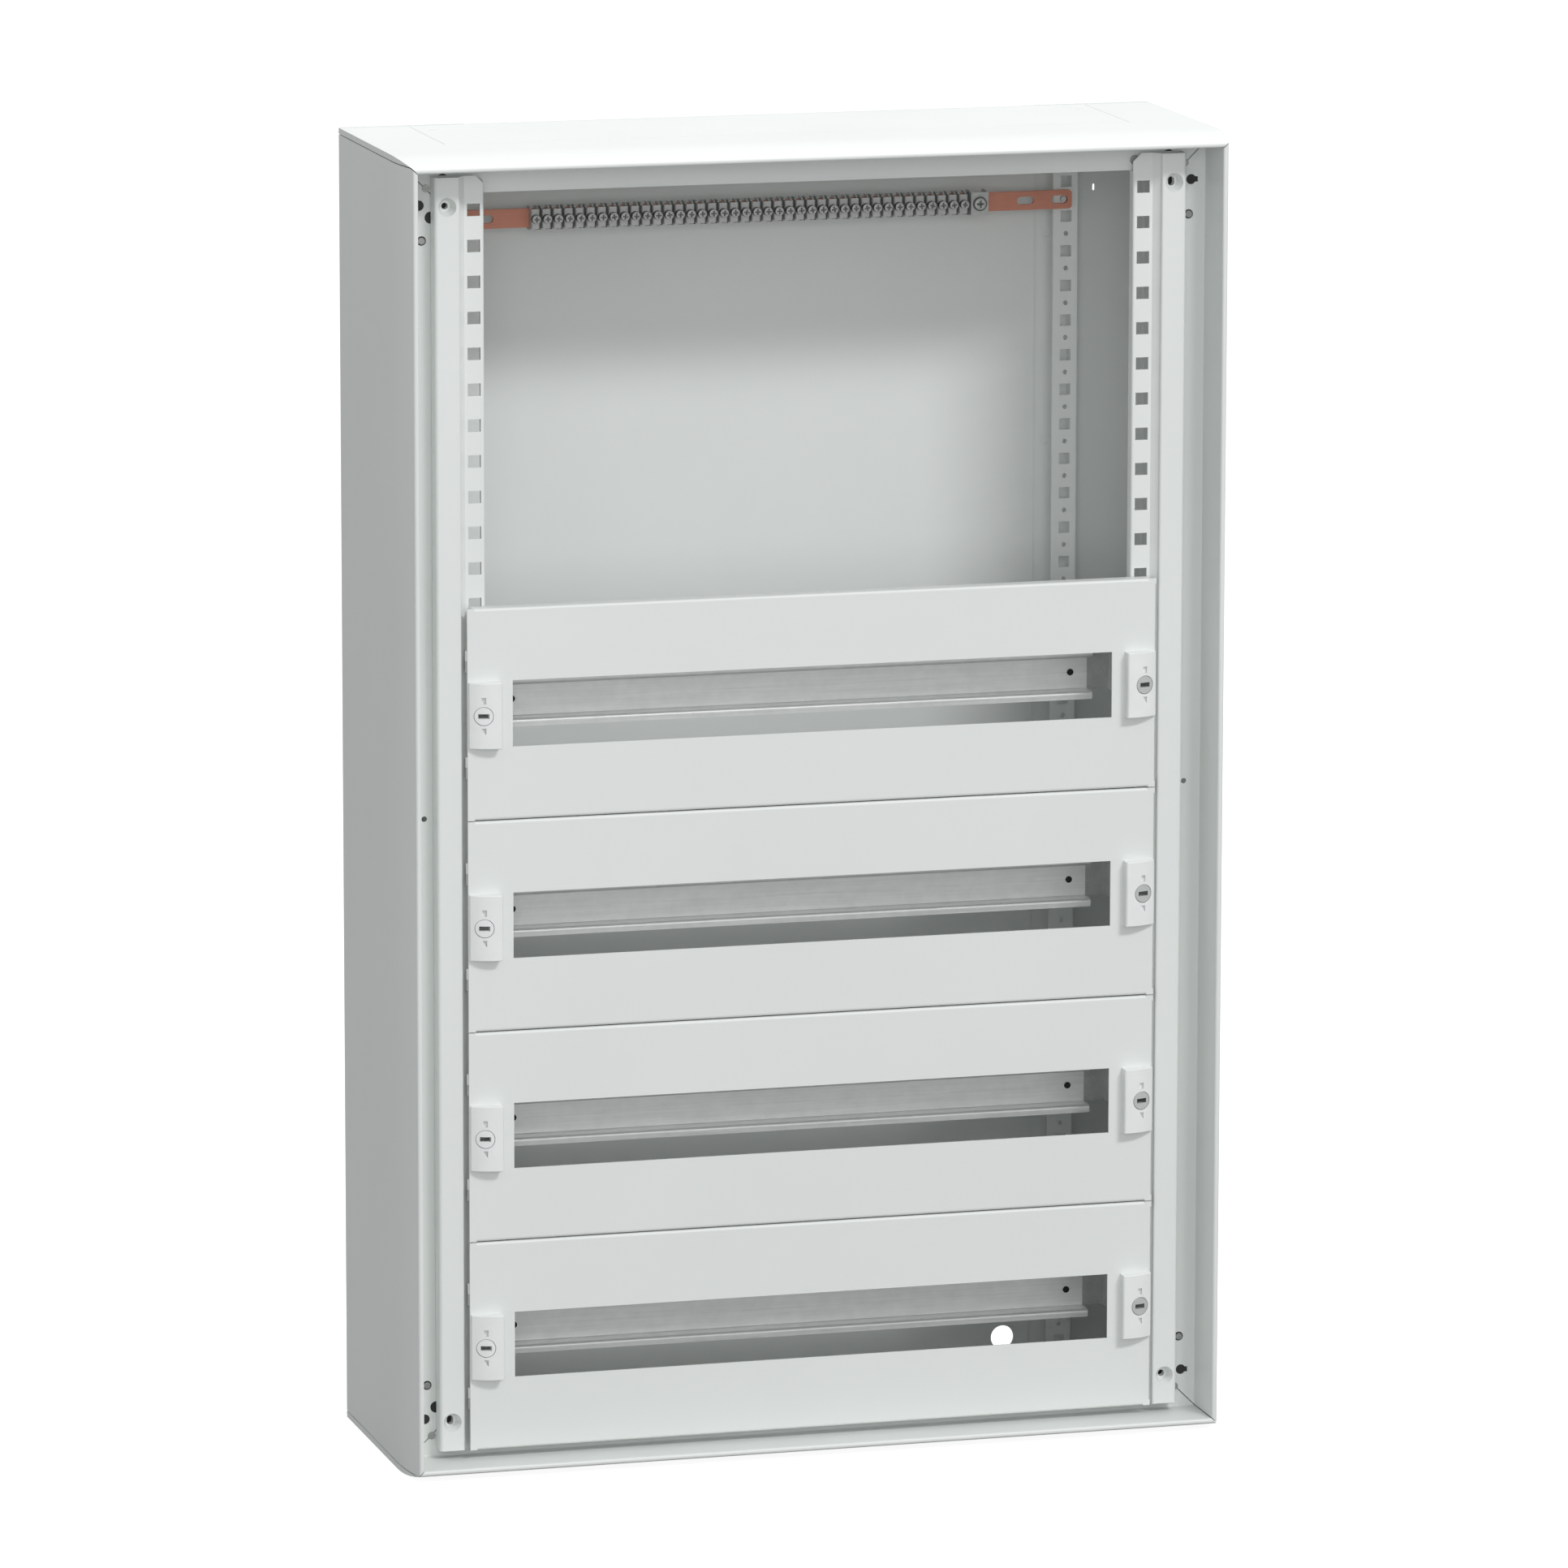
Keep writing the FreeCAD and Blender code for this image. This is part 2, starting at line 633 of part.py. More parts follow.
# ---------------------------------------------------------------- front plates and their hinges
half_plate = plate_sheet / 2
plate_back = plate_behind + plate_sheet
plate_fold = plate_back + plate_return
return_half_width = plate_half_width - return_inset
corner_reach = plate_bend + half_plate
side_path = [(plate_half_width - half_plate, plate_back + plate_side_return),
             (plate_half_width - half_plate, plate_behind + half_plate),
             (return_half_width - corner_reach, plate_behind + half_plate)]
knuckle_low = knuckle_gap / 2
knuckle_high = knuckle_low + knuckle_h


def hinge_heights(middle):
    return [middle - hinge_row_offset, middle + hinge_row_offset]


def front_plate(middle):
    """Tray with top, bottom and right returns; its left edge carries the turning knuckles."""
    low, high = middle - (row_pitch - plate_gap) / 2, middle + (row_pitch - plate_gap) / 2
    cross = [(low + half_plate, plate_fold), (low + half_plate, plate_behind + half_plate),
             (high - half_plate, plate_behind + half_plate), (high - half_plate, plate_fold)]
    tray = lie(sheet_face(cross, (plate_bend, plate_bend), plate_sheet),
               -return_half_width, return_half_width)
    edge = stand(sheet_face(side_path, (plate_bend,), plate_sheet), low + return_inset, high - return_inset)
    flat = block(-plate_half_width, plate_half_width - corner_reach, plate_behind, plate_back, low, high)
    corners = [block(plate_half_width - corner_reach, plate_half_width, plate_behind, plate_back,
                     z, z + return_inset) for z in (low, high - return_inset)]
    ends = flat.cut(block(1 - return_half_width, return_half_width - 1, plate_behind, plate_back, low, high))
    plate = joined([tray, edge, ends] + corners)
    for z in hinge_heights(middle):
        barrel = rod_z(hinge_x, hinge_behind, knuckle_r, z + knuckle_low, z + knuckle_high)
        web = block(-plate_half_width, hinge_x + knuckle_r + knuckle_web, plate_behind, hinge_behind,
                    z + knuckle_low, z + knuckle_high)
        plate = plate.fuse(barrel).fuse(web)
        plate = plate.cut(rod_z(hinge_x, hinge_behind, pin_r + pin_clearance, z - 1, z + knuckle_high + 1))
    window_half = plate_half_width - window_inset
    openings = [block(-window_half, window_half, plate_behind - 1, plate_back + 1,
                      middle - window_h / 2, middle + window_h / 2)]
    openings += [rod_y(side * lock_x, middle, shaft_r + knob_clearance, plate_behind - 1, plate_back + 1)
                 for side in (-1, 1)]
    return plate.cut(joined(openings)).removeSplitter()


def hinge_lug(z):
    """Fixed knuckle with its pin, on an arm whose foot lies on the left upright's flange."""
    low, high = z - knuckle_high, z - knuckle_low
    arm_x = hinge_x + knuckle_r - lug_wall
    barrel = rod_z(hinge_x, hinge_behind, knuckle_r, low, high)
    pin = rod_z(hinge_x, hinge_behind, pin_r, low, z + knuckle_high - pin_end)
    arm = block(arm_x, arm_x + lug_wall, hinge_behind, hole_flange_behind, low, high)
    foot = block(arm_x, arm_x + lug_foot, hole_flange_behind - lug_wall, hole_flange_behind, low, high)
    return joined([barrel, pin, arm, foot]).cut(left_front_upright)


# ---------------------------------------------------------------- quarter-turn locks
cover_face = plate_behind - cover_mid


def cover_body(side, middle):
    """Moulded body, thick beside the window and thinning towards the plate's outer edge."""
    outline = [(cover_inner, 0), (cover_inner, cover_thick - cover_edge),
               (cover_inner + cover_edge, cover_thick), (cover_outer, cover_thin), (cover_outer, 0)]
    face = [at(side * x, plate_behind - out, middle - cover_h / 2) for x, out in outline]
    crown = at(side * lock_x, cover_face, middle - cover_h / 2)
    edges = [Part.LineSegment(face[0], face[1]).toShape(), Part.LineSegment(face[1], face[2]).toShape(),
             Part.Arc(face[2], crown, face[3]).toShape(), Part.LineSegment(face[3], face[4]).toShape(),
             Part.LineSegment(face[4], face[0]).toShape()]
    cover = Part.Face(Part.Wire(edges)).extrude(Vector(0, 0, cover_h))
    ends = [edge for edge in cover.Edges
            if edge.BoundBox.ZLength < touch and edge.BoundBox.XLength > cover_w / 2
            and edge.BoundBox.YMin < at(0, plate_behind - touch, 0).y]
    return cover.makeFillet(cover_fillet, ends)


def lock_cover(side, middle):
    """Cover with the knob's hole and two sunk marks that show the knob's two positions."""
    seat = rod_y(side * lock_x, middle, knob_r + knob_clearance, 0, plate_behind + 1)
    square = block(side * (lock_x - mark_half), side * (lock_x + mark_half), 0, cover_face + mark_deep,
                   middle + mark_near, middle + mark_near + mark_long)
    mark_x = side * lock_x
    corners = [at(mark_x - mark_half, 0, middle - mark_near), at(mark_x + mark_half, 0, middle - mark_near),
               at(mark_x + mark_half, 0, middle - mark_near - mark_long)]
    wedge = Part.Face(Part.makePolygon(corners + corners[:1])).extrude(Vector(0, cover_face + mark_deep, 0))
    return cover_body(side, middle).cut(joined([seat, square, wedge]))


def lock_knob(side, middle):
    """Knob flush with its sloping cover, with a screwdriver slot and the shaft through the plate."""
    under = plate_behind - knob_base
    disc = cover_body(side, middle).common(rod_y(side * lock_x, middle, knob_r, 0, under))
    rim = [edge for edge in disc.Edges
           if edge.BoundBox.YLength > touch and edge.BoundBox.ZLength > knob_r / 2]
    disc = disc.makeFillet(knob_fillet, rim)
    boss = rod_y(side * lock_x, middle, shaft_r + boss_wall, under, plate_behind - touch)
    shaft = rod_y(side * lock_x, middle, shaft_r, under, cam_behind(side))
    slot = block(side * lock_x - slot_w / 2, side * lock_x + slot_w / 2, 0, cover_face + slot_deep,
                 middle - slot_h / 2, middle + slot_h / 2)
    return joined([disc, boss, shaft]).cut(slot)


def cam_behind(side):
    """The right cams reach behind the flange; the left ones stop short of it and clear the hinge."""
    if side > 0:
        return hole_flange_behind + upright_sheet + touch
    return hole_flange_behind - touch - cam_thick


def lock_cam(side, middle):
    front = cam_behind(side)
    hub = rod_y(side * lock_x, middle, shaft_r, front, front + cam_thick)
    finger = block(side * lock_x, side * (lock_x + cam_reach), front, front + cam_thick,
                   middle - cam_half, middle + cam_half)
    return joined([hub, finger])


lugs = []
for row, middle in enumerate(row_middles, 1):
    save("front_plate_%d" % row, front_plate(middle))
    lugs += [hinge_lug(z) for z in hinge_heights(middle)]
    for name, side in (("left", -1), ("right", 1)):
        save("lock_cover_%s_%d" % (name, row), lock_cover(side, middle))
        save("lock_knob_%s_%d" % (name, row), lock_knob(side, middle))
        save("lock_cam_%s_%d" % (name, row), lock_cam(side, middle))
save("hinge_lugs", Part.makeCompound(lugs))

# ---------------------------------------------------------------- device rails
half_rail = rail_sheet / 2
rail_front = rail_web_behind + rail_sheet - rail_deep
web_inner = rail_web - half_rail
rail_path = [(-rail_lip, rail_front + half_rail), (-web_inner, rail_front + half_rail),
             (-web_inner, rail_web_behind + half_rail), (web_inner, rail_web_behind + half_rail),
             (web_inner, rail_front + half_rail), (rail_lip, rail_front + half_rail)]
rail = lie(sheet_face(rail_path, (rail_bend,) * 4, rail_sheet), -rail_half_length, rail_half_length)
rail_cuts = [rod_y(side * rail_screw_x, 0, rail_screw_r, rail_web_behind - 1,
                   rail_web_behind + rail_sheet + 1) for side in (-1, 1)]
rail_cuts.append(block(-width, width, rail_web_behind - 1, rail_web_behind + rail_line[1],
                       -rail_line[0] / 2, rail_line[0] / 2))
rail = rail.cut(joined(rail_cuts))
bracket_front_face = rail_web_behind + rail_sheet
bracket_back_face = bracket_front_face + bracket_sheet
brackets, rail_screws = [], []
for row, middle in enumerate(row_middles, 1):
    moved = rail.copy()
    moved.translate(Vector(0, 0, middle))
    save("din_rail_%d" % row, moved)
    bottom, high = middle - bracket_half_h, middle + bracket_half_h
    arm = block(hole_flange_inner - bracket_sheet, hole_flange_inner, bracket_front, bracket_back_face,
                bottom, high)
    leg = block(rail_screw_x - bracket_under, hole_flange_inner, bracket_front_face, bracket_back_face,
                bottom, high)
    hole = rod_y(rail_screw_x, middle, rail_screw_r, bracket_front_face - 1, bracket_back_face + 1)
    brackets.append(joined([arm, leg]).cut(hole))
    screw_tip = bracket_back_face + screw_head
    rail_screws.append(joined([
        rod_y(rail_screw_x, middle, rail_screw_r, rail_web_behind - touch, screw_tip),
        rod_y(rail_screw_x, middle, rail_screw_head_r, bracket_back_face, screw_tip)]))
save("rail_brackets", both_sides(brackets))
save("rail_screws", both_sides(rail_screws))

# ---------------------------------------------------------------- earth bar and its terminals
bar = block(-bar_half_length, bar_half_length, bar_behind, rear_strip_behind,
            bar_z - bar_h / 2, bar_z + bar_h / 2)
bar = bar.makeFillet(bar_corner, [edge for edge in bar.Edges
                                  if edge.BoundBox.XLength < touch and edge.BoundBox.ZLength < touch])
slots = []
for near, far in bar_slots:
    slots.append(slot_y(bar_half_length - (near + far) / 2, bar_z, (far - near) / 2, bar_slot_half,
                        bar_behind - 1, rear_strip_behind + 1))
bar = bar.cut(joined(slots + [mirrored(slot) for slot in slots]))
nut_from = rear_strip_behind + upright_sheet
stud = joined([rod_y(stud_x, bar_z, stud_r, bar_behind + touch, nut_from + stud_nut),
               rod_y(stud_x, bar_z, stud_head_r, nut_from, nut_from + stud_nut)])
save("earth_bar", bar)
save("earth_bar_studs", both_sides([stud]))


def clamp(x, wide, front_h, above, wire, shank_r):
    """Stirrup folded from sheet: front wall with the screw, and two cheeks that the bar passes through."""
    half_z = bar_h / 2 + above
    front = bar_behind - wire - terminal_wall
    rear = rear_strip_behind + terminal_behind
    outside = block(x - wide / 2, x + wide / 2, front, rear, bar_z - half_z, bar_z + half_z)
    inner_x = wide / 2 - terminal_wall
    inside = block(x - inner_x, x + inner_x, front + terminal_wall, rear + 1,
                   bar_z - half_z - 1, bar_z + half_z + 1)
    window = block(x - wide, x + wide, bar_behind - touch, rear_strip_behind + touch,
                   bar_z - bar_h / 2 - touch, bar_z + bar_h / 2 + touch)
    low, high = bar_z - front_h / 2, bar_z + front_h / 2
    steps = [block(x - wide, x + wide, front - 1, front + terminal_wall + terminal_neck, *ends)
             for ends in ((high, bar_z + half_z + 1), (bar_z - half_z - 1, low))]
    hole = rod_y(x, bar_z, shank_r, 0, bar_behind - screw_bite)
    return outside.cut(joined([inside, window] + steps)).cut(hole)


def clamp_screw(x, wire, shank_r, head_r, head, out):
    """Screw that presses the wire on the bar, with a cross recess."""
    front = bar_behind - wire - terminal_wall - out
    shank = rod_y(x, bar_z, shank_r, front, bar_behind)
    cap = rod_y(x, bar_z, head_r, front, front + head)
    arm = head_r * cross_share
    cross = [block(x - half_x, x + half_x, front - 1, front + head / 2, bar_z - half_z, bar_z + half_z)
             for half_x, half_z in ((arm, cross_half), (cross_half, arm))]
    return joined([shank, cap]).cut(joined(cross))


clamps, clamp_screws = [], []
for step in range(terminal_count):
    x = terminal_first + terminal_pitch * step
    clamps.append(clamp(x, terminal_w, terminal_front_h, terminal_above, terminal_wire, terminal_screw_r))
    clamp_screws.append(clamp_screw(x, terminal_wire, terminal_screw_r, terminal_head_r, terminal_head,
                                    terminal_screw_out))
save("earth_terminal_clamps", Part.makeCompound(clamps))
save("earth_terminal_screws", Part.makeCompound(clamp_screws))
main_x = terminal_first + (terminal_count - 1) * terminal_pitch + main_clamp_step
save("main_earth_clamp", clamp(main_x, main_clamp_w, main_clamp_h, main_clamp_above, main_clamp_wire,
                               main_screw_r))
save("main_earth_screw", clamp_screw(main_x, main_clamp_wire, main_screw_r, main_head_r, main_head,
                                     main_screw_out))
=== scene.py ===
import math

import bmesh
import bpy
from mathutils import Matrix, Vector


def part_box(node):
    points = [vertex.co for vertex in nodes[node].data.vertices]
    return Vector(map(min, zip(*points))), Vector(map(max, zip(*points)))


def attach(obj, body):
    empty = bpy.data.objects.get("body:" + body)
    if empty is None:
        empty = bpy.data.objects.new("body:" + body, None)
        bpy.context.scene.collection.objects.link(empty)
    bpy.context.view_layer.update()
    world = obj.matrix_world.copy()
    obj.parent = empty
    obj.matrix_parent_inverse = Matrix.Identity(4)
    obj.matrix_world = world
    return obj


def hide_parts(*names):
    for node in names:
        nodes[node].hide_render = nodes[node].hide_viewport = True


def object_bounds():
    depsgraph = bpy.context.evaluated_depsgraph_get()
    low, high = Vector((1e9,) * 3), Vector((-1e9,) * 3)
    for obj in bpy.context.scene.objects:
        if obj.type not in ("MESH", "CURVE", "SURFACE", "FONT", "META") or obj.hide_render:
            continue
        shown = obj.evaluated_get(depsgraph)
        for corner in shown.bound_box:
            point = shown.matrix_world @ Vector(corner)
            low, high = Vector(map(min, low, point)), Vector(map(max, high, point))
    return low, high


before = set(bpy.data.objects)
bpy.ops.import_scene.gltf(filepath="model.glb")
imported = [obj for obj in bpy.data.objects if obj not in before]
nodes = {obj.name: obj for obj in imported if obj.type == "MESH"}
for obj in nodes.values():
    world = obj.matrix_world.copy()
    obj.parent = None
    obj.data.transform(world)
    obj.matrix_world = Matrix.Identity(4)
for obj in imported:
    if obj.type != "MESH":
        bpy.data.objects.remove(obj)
cad_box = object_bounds()

# ---------------------------------------------------------------- where the cabinet stands
# A studio with a white lit floor, a large soft window light from the upper right, a wide soft
# light overhead, a weak one from the front and an even sky. The camera stands to the left.
view_turn, view_tilt, view_roll = math.radians(-15.639), math.radians(10.668), math.radians(0.091)
backward = Vector((math.sin(view_turn) * math.cos(view_tilt), -math.cos(view_turn) * math.cos(view_tilt),
                   math.sin(view_tilt)))
sideways = Vector((math.cos(view_turn), math.sin(view_turn), 0.0))
upward = backward.cross(sideways)
rolled = sideways * math.cos(view_roll) + upward * math.sin(view_roll)
camera_place = (-1.9372, -6.9187, 1.8187)
focal_length, sensor_width, view_end = 237.14, 36.0, 200.0
lens = bpy.data.cameras.new("camera")
lens.lens, lens.sensor_width, lens.clip_end = focal_length, sensor_width, view_end
camera = bpy.data.objects.new("camera", lens)
bpy.context.collection.objects.link(camera)
axes = Matrix((rolled, backward.cross(rolled), backward)).transposed()
camera.matrix_world = Matrix.Translation(camera_place) @ axes.to_4x4()
bpy.context.scene.camera = camera
bpy.context.scene.view_settings.view_transform = "Standard"


def soft_light(name, place, aim, width, height, power):
    light = bpy.data.lights.new(name, "AREA")
    light.shape, light.size, light.size_y, light.energy = "RECTANGLE", width, height, power
    lamp = bpy.data.objects.new(name, light)
    bpy.context.collection.objects.link(lamp)
    lamp.location = place
    lamp.rotation_euler = (Vector(aim) - Vector(place)).to_track_quat("-Z", "Y").to_euler()


soft_light("window_light", place=(2.10, -5.13, 5.15), aim=(0.0, 0.0, 0.50),
           width=2.2, height=0.8, power=205.0)
soft_light("overhead_light", place=(0.0, 0.90, 3.30), aim=(0.0, 0.0, 0.60),
           width=3.6, height=2.6, power=50.0)
soft_light("front_fill", place=(-1.10, -5.60, 1.60), aim=(0.0, 0.0, 0.45),
           width=2.6, height=2.6, power=59.0)

sky_colour, sky_strength = (0.98, 0.99, 1.0, 1.0), 0.53
sky = bpy.data.worlds.new("studio_sky")
bpy.context.scene.world = sky
sky.use_nodes = True
sky.node_tree.nodes["Background"].inputs["Color"].default_value = sky_colour
sky.node_tree.nodes["Background"].inputs["Strength"].default_value = sky_strength
floor_half = 40
floor_roughness = 0.9


def floor_sheet(name, drop, shade, glow, seen):
    """The floor is two sheets: the camera sees the lit one, the light bounces off the plain one."""
    mesh = bpy.data.meshes.new(name)
    corners = [(-floor_half, -floor_half, 0), (floor_half, -floor_half, 0),
               (floor_half, floor_half, 0), (-floor_half, floor_half, 0)]
    mesh.from_pydata(corners, [], [(0, 1, 2, 3)])
    sheet = bpy.data.objects.new(name, mesh)
    bpy.context.collection.objects.link(sheet)
    sheet.location.z = cad_box[0][2] - drop
    sheet.visible_camera = seen
    sheet.visible_diffuse = sheet.visible_glossy = not seen
    pale = bpy.data.materials.new(name)
    pale.use_nodes = True
    skin = pale.node_tree.nodes["Principled BSDF"].inputs
    skin["Base Color"].default_value = (shade, shade, shade, 1.0)
    skin["Roughness"].default_value = floor_roughness
    skin["Emission Color"].default_value = (1.0, 1.0, 1.0, 1.0)
    skin["Emission Strength"].default_value = glow
    mesh.materials.append(pale)


floor_sheet("studio_floor", drop=0.0005, shade=0.25, glow=0.92, seen=True)
floor_sheet("studio_floor_bounce", drop=0.0010, shade=0.58, glow=0.0, seen=False)


# ---------------------------------------------------------------- folded shell
# Two sides, top, bottom, back and two gland plates, each folded from 1.2 mm steel sheet and
# powder coated in a pale grey-white that flows out to a fine orange peel. Riveted at the corners.
class Value:
    """A shader value. Adding to it or multiplying it adds the Math node for that."""

    def __init__(self, finish, socket):
        self.finish, self.socket = finish, socket

    def worked(self, operation, other):
        return self.finish.node("ShaderNodeMath", {"operation": operation}, {0: self, 1: other})

    def __add__(self, other):
        return self.worked("ADD", other)

    __radd__ = __add__

    def __mul__(self, other):
        return self.worked("MULTIPLY", other)

    __rmul__ = __mul__


class Finish:
    """One material, with a single way to add a node to it."""

    def __init__(self, name):
        self.material = bpy.data.materials.new(name)
        self.material.use_nodes = True
        self.tree = self.material.node_tree
        self.shader = self.tree.nodes["Principled BSDF"]

    def node(self, kind, settings, sockets, out=0):
        made = self.tree.nodes.new(kind)
        for key, setting in settings.items():
            if key == "stops":
                for stop, (place, shade) in zip(made.color_ramp.elements, setting):
                    stop.position, stop.color = place, (shade, shade, shade, 1.0)
            else:
                setattr(made, key, setting)
        for key, value in sockets.items():
            self.plug(made.inputs[key], value)
        return Value(self, made.outputs[out])

    def plug(self, socket, value):
        if isinstance(value, Value):
            self.tree.links.new(value.socket, socket)
        else:
            socket.default_value = value

    def place(self, stretch=(1.0, 1.0, 1.0)):
        here = self.node("ShaderNodeTexCoord", {}, {}, "Object")
        return self.node("ShaderNodeMapping", {}, {"Vector": here, "Scale": stretch})

    def noise(self, where, scale, detail):
        return self.node("ShaderNodeTexNoise", {}, {"Vector": where, "Scale": scale, "Detail": detail})

    def ramp(self, value, low, high):
        return self.node("ShaderNodeValToRGB", {"stops": ((low, 0.0), (high, 1.0))}, {"Fac": value})

    def blend(self, factor, first, second):
        return self.node("ShaderNodeMix", {"data_type": "RGBA"},
                         {"Factor": factor, 6: (*first, 1.0), 7: (*second, 1.0)}, 2)

    def relief(self, height, depth):
        return self.node("ShaderNodeBump", {}, {"Strength": 1.0, "Distance": depth, "Height": height})

    def surface(self, **sockets):
        for key, value in sockets.items():
            self.plug(self.shader.inputs[key.replace("_", " ")], value)
        return self.material


cloud_scale, peel_scale, pinhead_scale = 7.0, 420.0, 1900.0
coat_roughness, coat_gloss, peel_depth = 0.34, 0.42, 0.000018


def powder_coat(name, thin, full):
    """Powder coat from its thinner to its fuller shade, with orange peel and a little pinhead grain."""
    coat = Finish(name)
    here = coat.place()
    cloud = coat.noise(here, cloud_scale, 3.0)
    peel = coat.noise(here, peel_scale, 1.5)
    grain = coat.noise(here, pinhead_scale, 1.0)
    tone = coat.blend(coat.ramp(cloud * 0.8 + grain * 0.2, 0.30, 0.70), thin, full)
    return coat.surface(Base_Color=tone, Roughness=coat_roughness + cloud * 0.06 + grain * 0.08,
                        Normal=coat.relief(peel * 0.7 + grain * 0.3, peel_depth),
                        Metallic=0.0, Specular_IOR_Level=coat_gloss)


def coat_nodes(material, *names):
    for name in names:
        nodes[name].material_slots[0].material = material


shell_coat = powder_coat("shell_powder_coat", (0.772, 0.796, 0.780), (0.796, 0.820, 0.804))
coat_nodes(shell_coat, "left_side_panel", "right_side_panel", "top_panel", "bottom_panel", "back_panel",
           "top_gland_plate", "bottom_gland_plate")

# ---------------------------------------------------------------- uprights
# Front and rear uprights, rolled from 1.5 mm sheet and punched before coating. They are sprayed
# on another line from the shell, so their coat is a touch fuller.
upright_coat = powder_coat("upright_powder_coat", (0.780, 0.804, 0.788), (0.805, 0.829, 0.813))
coat_nodes(upright_coat, "left_front_upright", "right_front_upright", "left_rear_upright",
           "right_rear_upright")

# ---------------------------------------------------------------- front plates
# Four folded plates with a window each. The same powder coat, with a smoother flow because
# the plates are sprayed lying flat.
plate_coat = powder_coat("plate_powder_coat", (0.776, 0.800, 0.784), (0.798, 0.822, 0.806))
rows = range(1, 5)
for row in rows:
    coat_nodes(plate_coat, "front_plate_%d" % row)


# ---------------------------------------------------------------- lock covers, knobs and cams
# Covers and left knobs are moulded in white polycarbonate with a fine spark-eroded skin; the right
# knobs carry painted shade, their plastic greyed for the shade their tilt puts on them. Each knob turns a
# zinc plated cam behind its plate.
skin_scale, flow_scale = 2600.0, 60.0
plastic_gloss, skin_depth = 0.45, 0.00001


def moulded(name, dark, light, roughness):
    """Moulded plastic: an eroded skin, and slow shifts of shade where it flowed in the mould."""
    plastic = Finish(name)
    here = plastic.place()
    skin = plastic.noise(here, skin_scale, 2.0)
    flow = plastic.noise(here, flow_scale, 2.0)
    return plastic.surface(Base_Color=plastic.blend(plastic.ramp(flow, 0.3, 0.7), dark, light),
                           Roughness=roughness + skin * 0.10, Normal=plastic.relief(skin, skin_depth),
                           Specular_IOR_Level=plastic_gloss)


cover_plastic = moulded("cover_plastic", (0.83, 0.85, 0.84), (0.86, 0.88, 0.87), 0.32)
# painted shade: the right knobs' grey stands for the shade that falls on them at their tilt.
painted_shade_grey_plastic = moulded("knob_plastic_painted_shade", (0.50, 0.52, 0.51), (0.54, 0.56, 0.55), 0.34)
spangle_scale, drawn_scale, drawn_depth = 120.0, 900.0, 0.000012


def plated(name, dark, bright, roughness, grain=(1.0, 1.0, 1.0), metallic=0.9):
    """Plated steel: a faint spangle over a fine drawn texture, which grain stretches along one axis."""
    metal = Finish(name)
    spangle = metal.noise(metal.place(), spangle_scale, 3.0)
    drawn = metal.noise(metal.place(grain), drawn_scale, 2.0)
    tone = metal.blend(metal.ramp(spangle * 0.5 + drawn * 0.5, 0.35, 0.65), dark, bright)
    return metal.surface(Base_Color=tone, Metallic=metallic, Roughness=roughness + drawn * 0.18,
                         Normal=metal.relief(drawn, drawn_depth))


zinc = plated("zinc_plate", (0.50, 0.51, 0.51), (0.62, 0.63, 0.63), 0.28)
for row in rows:
    coat_nodes(cover_plastic, "lock_cover_left_%d" % row, "lock_cover_right_%d" % row,
               "lock_knob_left_%d" % row)
    coat_nodes(painted_shade_grey_plastic, "lock_knob_right_%d" % row)
    coat_nodes(zinc, "lock_cam_left_%d" % row, "lock_cam_right_%d" % row)

insert_steel = plated("slot_insert_steel", (0.11, 0.112, 0.11), (0.34, 0.345, 0.34), 0.40)
slot_down = 0.0050
insert_half_long, insert_half_high = 0.0036, 0.0015
ridges, ridge_step, ridge_top, ridge_foot = 6, 0.0006, 0.0009, 0.0004


def closed_slab(work, first, second):
    """Walls between two like loops of corners, and a face over each of them."""
    for k in range(len(first)):
        m = (k + 1) % len(first)
        work.faces.new((first[k], first[m], second[m], second[k]))
    work.faces.new(first[::-1])
    work.faces.new(second)


def mesh_piece(name, work):
    mesh = bpy.data.meshes.new(name)
    bmesh.ops.recalc_face_normals(work, faces=work.faces)
    work.to_mesh(mesh)
    work.free()
    piece = bpy.data.objects.new(name, mesh)
    bpy.context.collection.objects.link(piece)
    return piece


def slot_insert(name, body, side, row):
    """Blackened steel insert at the bottom of a knob's slot, with ridges that the tool bites on."""
    low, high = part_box("lock_knob_%s_%d" % (side, row))
    middle = [(low[axis] + high[axis]) / 2 for axis in range(3)]
    floor = low[1] + slot_down
    work = bmesh.new()
    outline = [(-insert_half_long, floor), (insert_half_long, floor)]
    for k in range(ridges, -ridges - 1, -1):
        outline.append((ridge_step * k, floor - (ridge_top if k % 2 else ridge_foot)))
    ends = [[work.verts.new((middle[0] + x, y, middle[2] + z)) for x, y in outline]
            for z in (-insert_half_high, insert_half_high)]
    closed_slab(work, *ends)
    insert = mesh_piece(name, work)
    insert.data.materials.append(insert_steel)
    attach(insert, body)


for row in rows:
    for side in ("left", "right"):
        slot_insert("slot_insert_%s_%d" % (side, row), "lock_%s_%d" % (side, row), side, row)

# ---------------------------------------------------------------- hinge lugs and rail brackets
# Bright zinc plated pressings that stay uncoated: the lugs carry the plates, the brackets the
# device rails.
coat_nodes(zinc, "hinge_lugs", "rail_brackets")

# ---------------------------------------------------------------- device rails
# Cold rolled 35 x 15 mm profile, zinc plated and passivated; the rolling leaves a grain along
# its length.
rail_zinc = plated("rail_zinc", (0.84, 0.85, 0.84), (0.92, 0.93, 0.92), 0.34, (0.02, 1.0, 1.0), 0.70)
for row in rows:
    coat_nodes(rail_zinc, "din_rail_%d" % row)

# ---------------------------------------------------------------- black corner pieces
# Moulded black nylon behind the recessed flanges; they show only through the flange's holes.
black_nylon = moulded("black_nylon", (0.020, 0.020, 0.020), (0.032, 0.032, 0.032), 0.45)
coat_nodes(black_nylon, "corner_gussets")

